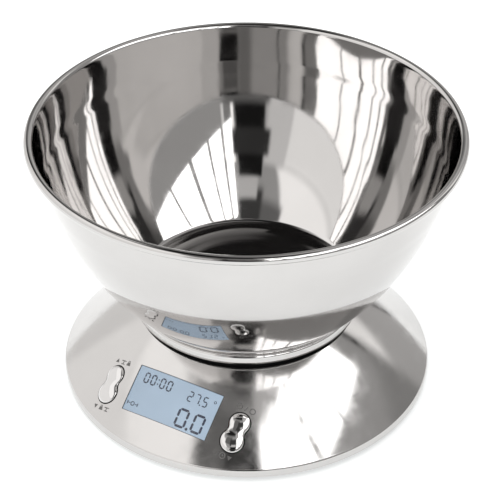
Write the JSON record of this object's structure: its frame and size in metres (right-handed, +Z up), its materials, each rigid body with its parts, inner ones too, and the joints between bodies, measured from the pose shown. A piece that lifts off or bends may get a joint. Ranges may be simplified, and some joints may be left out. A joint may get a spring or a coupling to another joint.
{
  "type": "kitchen scale",
  "caption": "Digital kitchen scale: round polished steel dome base with a tilted display and two rocker buttons, small round platform and a deep lift-off steel mixing bowl.",
  "frame": {"origin": "on the table under the middle of the round base", "axes": "+Z up, -Y towards the front, where the display is, +X to the right as seen from the front"},
  "size_m": [0.216, 0.216, 0.1436],
  "materials": {
    "steel": "polished",
    "black_plastic": "fine grained",
    "grey_plastic": "moulded",
    "chromed_plastic": "bright plated",
    "foot_rubber": "soft, matt",
    "clear_window": "polished clear",
    "display": "lit from behind",
    "light_panel": "diffusing",
    "strip_rubber": "striped",
    "circuit_board": "solder resist",
    "black_resin": "resin",
    "component_black": "moulded",
    "beam_aluminium": "milled",
    "zinc_steel": "zinc plated",
    "gauge_foil": "film",
    "sealant": "soft",
    "wire_cover": "extruded",
    "spring_steel": "nickel plated",
    "cell_jacket": "printed sleeve"
  },
  "bodies": {
    "base": {"top_cover": "steel", "inner_shell": "grey_plastic", "bottom_housing": "black_plastic", "housing_screws": "zinc_steel", "load_cell": "beam_aluminium", "load_cell_spacer": "zinc_steel", "load_cell_screws": "zinc_steel", "strain_gauges": "gauge_foil", "gauge_sealant": "sealant", "gauge_leads": "wire_cover", "display_window": "clear_window", "display_holder": "black_plastic", "display_glass": "display", "backlight_panel": "light_panel", "contact_strip": "strip_rubber", "main_board": "circuit_board", "board_screws": "zinc_steel", "controller_chip": "black_resin", "buzzer": "component_black", "thermistor": "black_resin", "battery_contacts": "spring_steel", "battery_leads": "wire_cover", "battery_cell_front": "cell_jacket", "battery_cell_rear": "cell_jacket", "foot_front_left": "foot_rubber", "foot_front_right": "foot_rubber", "foot_rear_left": "foot_rubber", "foot_rear_right": "foot_rubber", "rocker_pin_left": "zinc_steel", "switches_left": "component_black", "switch_board_left": "circuit_board", "switch_ribbon_left": "wire_cover", "rocker_pin_right": "zinc_steel", "switches_right": "component_black", "switch_board_right": "circuit_board", "switch_ribbon_right": "wire_cover"},
    "platform": {"platform_carrier": "black_plastic", "platform_disc": "steel", "platform_spacer": "zinc_steel", "platform_screws": "zinc_steel"},
    "bowl": {"bowl": "steel"},
    "rocker_left": {"rocker_left": "chromed_plastic"},
    "rocker_right": {"rocker_right": "chromed_plastic"},
    "battery_door": {"battery_door": "black_plastic"}
  },
  "joints": [
    {"name": "platform_travel", "type": "slide", "parent": "base", "child": "platform", "axis": [0, 0, 1], "range_m": [-0.0004, 0], "stiffness_N_per_m": 120000, "deforming": ["load_cell"]},
    {"name": "bowl_lift", "type": "slide", "parent": "platform", "child": "bowl", "axis": [0, 0, 1], "range_m": [0, 0.12]},
    {"name": "rocker_left_press", "type": "hinge", "parent": "base", "child": "rocker_left", "pos_m": [-0.03535, -0.07089, 0.01668], "axis": [0.9587, -0.1692, 0.2286], "range_deg": [-3, 3], "stiffness_Nm_per_rad": 0.12},
    {"name": "rocker_right_press", "type": "hinge", "parent": "base", "child": "rocker_right", "pos_m": [0.03535, -0.07089, 0.01668], "axis": [0.9587, 0.1692, -0.2286], "range_deg": [-3, 3], "stiffness_Nm_per_rad": 0.12},
    {"name": "battery_door_swing", "type": "hinge", "parent": "base", "child": "battery_door", "pos_m": [0, 0.04732, 0.0034], "axis": [-1, 0, 0], "range_deg": [0, 85]}
  ]
}
